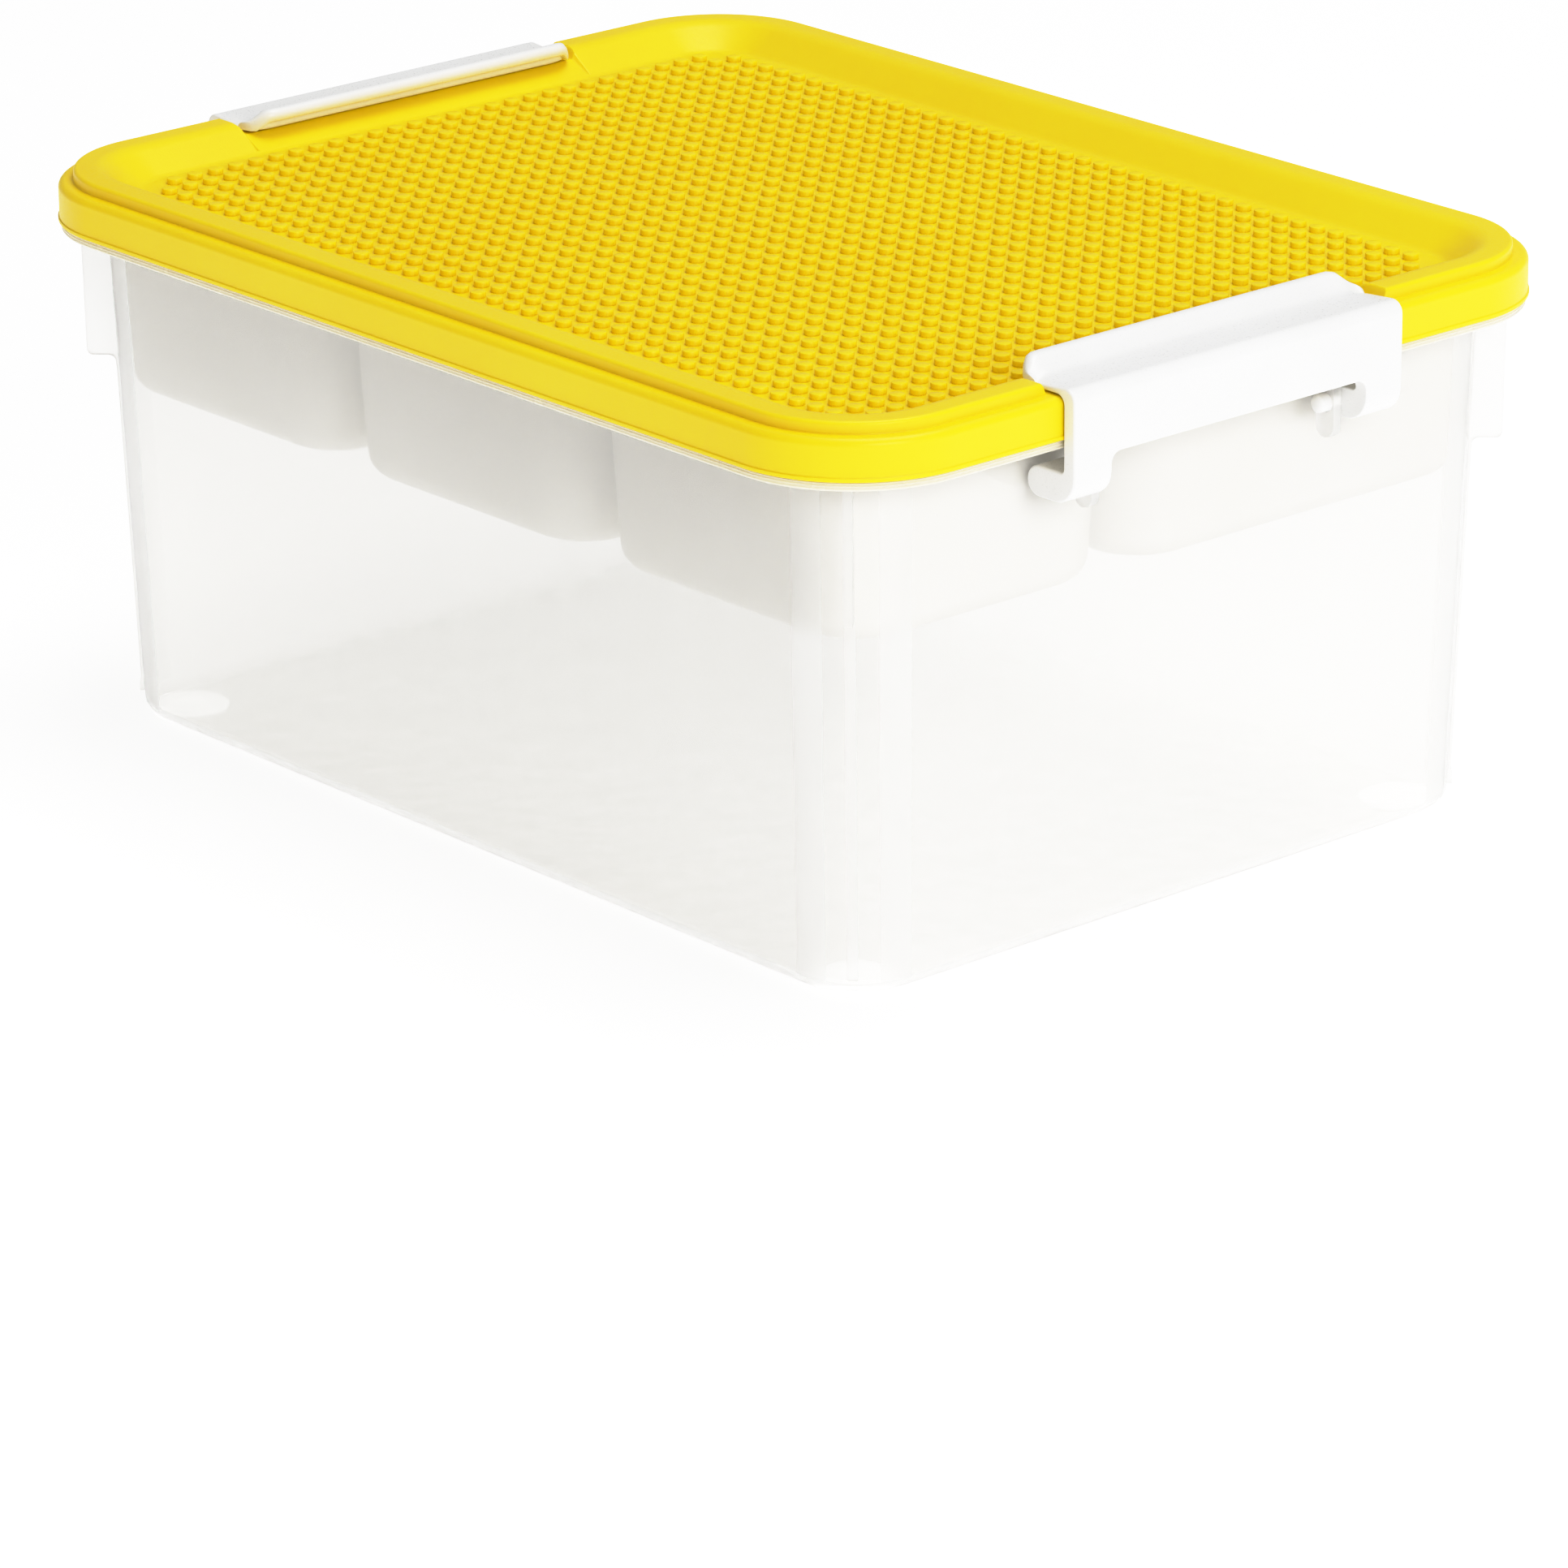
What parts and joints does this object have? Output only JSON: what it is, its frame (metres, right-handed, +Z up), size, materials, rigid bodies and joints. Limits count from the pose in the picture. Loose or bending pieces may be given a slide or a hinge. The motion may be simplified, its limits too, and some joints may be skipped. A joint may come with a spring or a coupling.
{
  "type": "stacking storage box",
  "caption": "Clear stacking box for building blocks, with a studded lid, two end latches and a lift-out tray of cups.",
  "frame": {"origin": "on the floor, under the middle of the tub", "axes": "+Z up, +X along the length towards the right latch, the picture's left long side faces -Y"},
  "size_m": [0.4046, 0.299, 0.1842],
  "materials": {
    "tub": "clear, slightly warm, glossy",
    "lid": "satin yellow",
    "latch": "smooth white",
    "tray": "milky translucent white"
  },
  "bodies": {
    "tub_body": {"tub": "tub"},
    "lid_body": {"lid": "lid"},
    "latch_right_body": {"latch_right": "latch"},
    "latch_left_body": {"latch_left": "latch"},
    "tray_body": {"organiser_tray": "tray"}
  },
  "joints": [
    {"name": "lid_lift", "type": "slide", "parent": "tub_body", "child": "lid_body", "axis": [0, 0, 1], "range_m": [0, 0.3]},
    {"name": "latch_right_hinge", "type": "hinge", "parent": "tub_body", "child": "latch_right_body", "pos_m": [0.189, 0, 0.15], "axis": [0, 1, 0], "range_deg": [0, 120]},
    {"name": "latch_left_hinge", "type": "hinge", "parent": "tub_body", "child": "latch_left_body", "pos_m": [-0.189, 0, 0.15], "axis": [0, -1, 0], "range_deg": [0, 120]},
    {"name": "tray_lift", "type": "slide", "parent": "tub_body", "child": "tray_body", "axis": [0, 0, 1], "range_m": [0, 0.11]}
  ],
  "couplings": [
    {"joint": "latch_right_hinge", "follows": "lid_lift", "rad_per_m": 6.98},
    {"joint": "latch_left_hinge", "follows": "lid_lift", "rad_per_m": 6.98},
    {"joint": "tray_lift", "follows": "lid_lift", "ratio": 0.3666}
  ]
}
